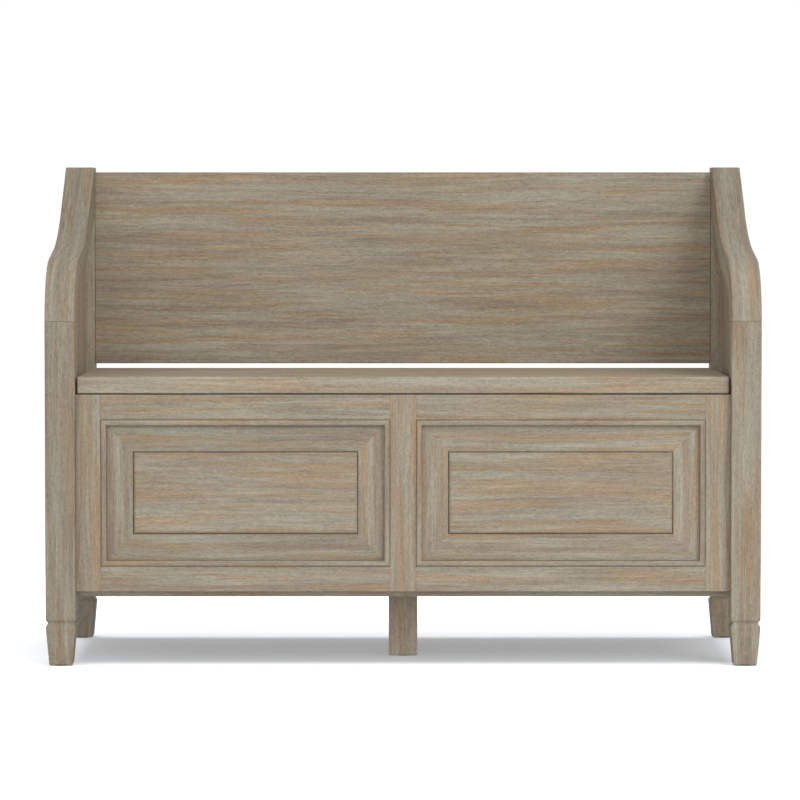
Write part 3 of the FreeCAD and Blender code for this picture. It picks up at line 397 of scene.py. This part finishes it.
# How warm and how light single boards are beside the rest. The lighter tones of the rear posts, the
# centre foot and the front battens are painted light, standing in for light under the bench.
BOARDS = {
    "backrest_panel": (0.015, 1.005),
    "lid": (0.04, 1.10),
    "field_left": (0.07, 1.0),
    "field_right": (0.06, 1.0),
    "top_rail_left": (0.05, 1.0),
    "top_rail_right": (0.04, 0.97),
    "bottom_rail_left": (0.05, 1.0),
    "bottom_rail_right": (0.05, 1.0),
    "end_stile_left": (0.06, 0.97),
    "centre_stile": (0.07, 1.0),
    "end_stile_right": (0.06, 1.01),
    "border_left_top": (0.03, 0.92),
    "border_left_bottom": (0.02, 0.95),
    "border_left_west": (0.0, 0.94),
    "border_left_east": (0.06, 1.03),
    "border_right_top": (0.05, 1.02),
    "border_right_bottom": (0.03, 1.02),
    "border_right_west": (0.01, 1.05),
    "border_right_east": (0.04, 1.04),
    "front_post_left": (0.02, 0.88),
    "front_post_right": (0.04, 0.96),
    # Painted light: the rear posts, centre foot and front battens are made lighter.
    "rear_post_left": (0.0, 1.12),
    "rear_post_right": (0.0, 1.05),
    "centre_foot": (0.0, 1.36),
    "front_battens": (0.0, 1.15),
}
BEAD_BOARD = (0.03, 1.0)
ARM_BOARDS = {"left": (-0.02, 0.95), "right": (-0.02, 0.98)}


def dress_wood():
    """Every wooden piece gets its own board of oak."""
    runs = {
        "Z": ["front_post_left", "front_post_right", "rear_post_left", "rear_post_right",
              "end_stile_left", "end_stile_right", "centre_stile", "centre_foot",
              "border_left_west", "border_left_east", "border_right_west", "border_right_east",
              "side_panel_left", "side_panel_right", "corner_blocks", "stay_blocks"],
        "X": ["backrest_panel", "box_back_panel", "seat_strip", "bottom_board", "lid",
              "front_battens", "rear_battens", "field_left", "field_right",
              "top_rail_left", "top_rail_right", "bottom_rail_left", "bottom_rail_right",
              "border_left_bottom", "border_left_top", "border_right_bottom", "border_right_top",
              "panel_board_left", "panel_board_right"],
        "Y": ["side_rail_left", "side_rail_right", "centre_bearer", "lid_ledgers", "lid_battens",
              "dowels"],
    }
    seed = 1.0
    for axis, names in runs.items():
        for name in names:
            warmth, tone = BOARDS.get(name, (0.0, 1.0))
            dress(name, oak("oak_" + name, along_axis(axis), seed, warmth, tone))
            seed += 1.0
    for side in ("left", "right"):
        low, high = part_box("bead_" + side)
        centre = ((low[0] + high[0]) / 2, (low[2] + high[2]) / 2)
        half = ((high[0] - low[0]) / 2, (high[2] - low[2]) / 2)
        dress("bead_" + side, oak("oak_bead_" + side, along_bead(centre, half), seed, *BEAD_BOARD))
        seed += 1.0
        low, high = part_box("arm_" + side)
        bend = (low[1] + ARM_BEND, low[2])
        dress("arm_" + side, oak("oak_arm_" + side, along_arm(bend), seed, *ARM_BOARDS[side]))
        seed += 1.0


def dress_hardware():
    """Zinc-plated steel for hinges, stays and screws, rubber under the feet and the lid."""
    steel = metal("zinc_steel", (176, 176, 170), 0.36, 1.0)
    for name in ("hinge_plates", "hinge_leaves", "hinge_pins", "stay_box_brackets", "stay_lid_brackets",
                 "frame_screws", "lid_screws"):
        dress(name, steel)
    for part in ("lower_arm", "upper_arm", "rivet"):
        for side in ("left", "right"):
            dress("stay_%s_%s" % (part, side), steel)
    rubber = metal("dark_rubber", (52, 50, 48), 0.7, 0.0)
    dress("foot_glides", rubber)
    dress("lid_bumpers", rubber)


def make_floor():
    """A pale floor that turns into the white of the studio away from the bench."""
    bpy.ops.mesh.primitive_circle_add(
        vertices=96, radius=FLOOR_RADIUS, fill_type="NGON", location=(0, 0, 0))
    floor = bpy.context.object
    floor.name = "studio_floor"
    material = bpy.data.materials.new("studio_floor")
    material.use_nodes = True
    shader = material.node_tree.nodes["Principled BSDF"]
    shader.inputs["Base Color"].default_value = FLOOR_COLOUR
    shader.inputs["Roughness"].default_value = 0.9
    shader.inputs["Specular IOR Level"].default_value = 0.0
    shader.inputs["Emission Color"].default_value = WHITE
    shader.inputs["Emission Strength"].default_value = FLOOR_GLOW
    n = Nodes(material.node_tree)
    away = n.add("ShaderNodeVectorMath", operation="LENGTH")
    n.put(away.inputs[0], n.add("ShaderNodeTexCoord").outputs["Object"])
    white = n.add("ShaderNodeEmission")
    n.feed(white, Color=WHITE, Strength=STUDIO_WHITE)
    both = n.add("ShaderNodeMixShader")
    n.put(both.inputs[0], n.ramp(away.outputs["Value"], FLOOR_NEAR, FLOOR_FAR))
    n.put(both.inputs[1], shader.outputs[0])
    n.put(both.inputs[2], white.outputs[0])
    seen = n.add("ShaderNodeLightPath").outputs["Is Camera Ray"]
    share = n.add("ShaderNodeMixShader")
    n.put(share.inputs[0], n.math("MULTIPLY_ADD", seen, 1.0 - FLOOR_BOUNCE, FLOOR_BOUNCE))
    n.put(share.inputs[2], both.outputs[0])
    n.put(material.node_tree.nodes["Material Output"].inputs["Surface"], share.outputs[0])
    floor.data.materials.append(material)
    return floor


def make_world():
    """An even white studio, brighter to the eye than to the object."""
    world = bpy.data.worlds.new("studio")
    scene.world = world
    world.use_nodes = True
    n = Nodes(world.node_tree)
    world.node_tree.nodes.clear()
    seen = n.add("ShaderNodeLightPath").outputs["Is Camera Ray"]
    strength = n.math("MULTIPLY_ADD", seen, STUDIO_WHITE - STUDIO_LIGHT, STUDIO_LIGHT)
    light = n.add("ShaderNodeBackground")
    n.feed(light, Color=WHITE, Strength=strength)
    n.put(n.add("ShaderNodeOutputWorld").inputs["Surface"], light.outputs[0])


def area_light(name, place, target, size, power):
    """A rectangular soft lamp that looks at its target."""
    data = bpy.data.lights.new(name, "AREA")
    data.shape = "RECTANGLE"
    data.size = size[0]
    data.size_y = size[1]
    data.energy = power
    lamp = bpy.data.objects.new(name, data)
    scene.collection.objects.link(lamp)
    lamp.location = place
    lamp.rotation_euler = (Vector(target) - Vector(place)).to_track_quat("-Z", "Y").to_euler()
    return lamp


def make_lights(floor):
    """A soft key from the right, a weak front fill, and one lamp for the floor."""
    area_light("key", *KEY)
    area_light("fill", *FILL)
    lamp = area_light("floor_lamp", *FLOOR_LAMP)
    lit = bpy.data.collections.new("lit_by_floor_lamp")
    lit.objects.link(floor)
    lamp.light_linking.receiver_collection = lit


def make_camera():
    """The photograph's camera."""
    data = bpy.data.cameras.new("camera")
    data.sensor_width = SENSOR
    data.lens = SENSOR * FOCAL_PIXELS / IMAGE_SIDE
    data.clip_end = CAMERA_REACH
    camera = bpy.data.objects.new("camera", data)
    scene.collection.objects.link(camera)
    camera.location = CAMERA_PLACE
    camera.rotation_euler = (math.radians(CAMERA_TILT), 0, math.radians(CAMERA_YAW))
    scene.camera = camera


scene.view_settings.view_transform = "Standard"
dress_wood()
dress_hardware()
studio_floor = make_floor()
make_world()
make_lights(studio_floor)
make_camera()
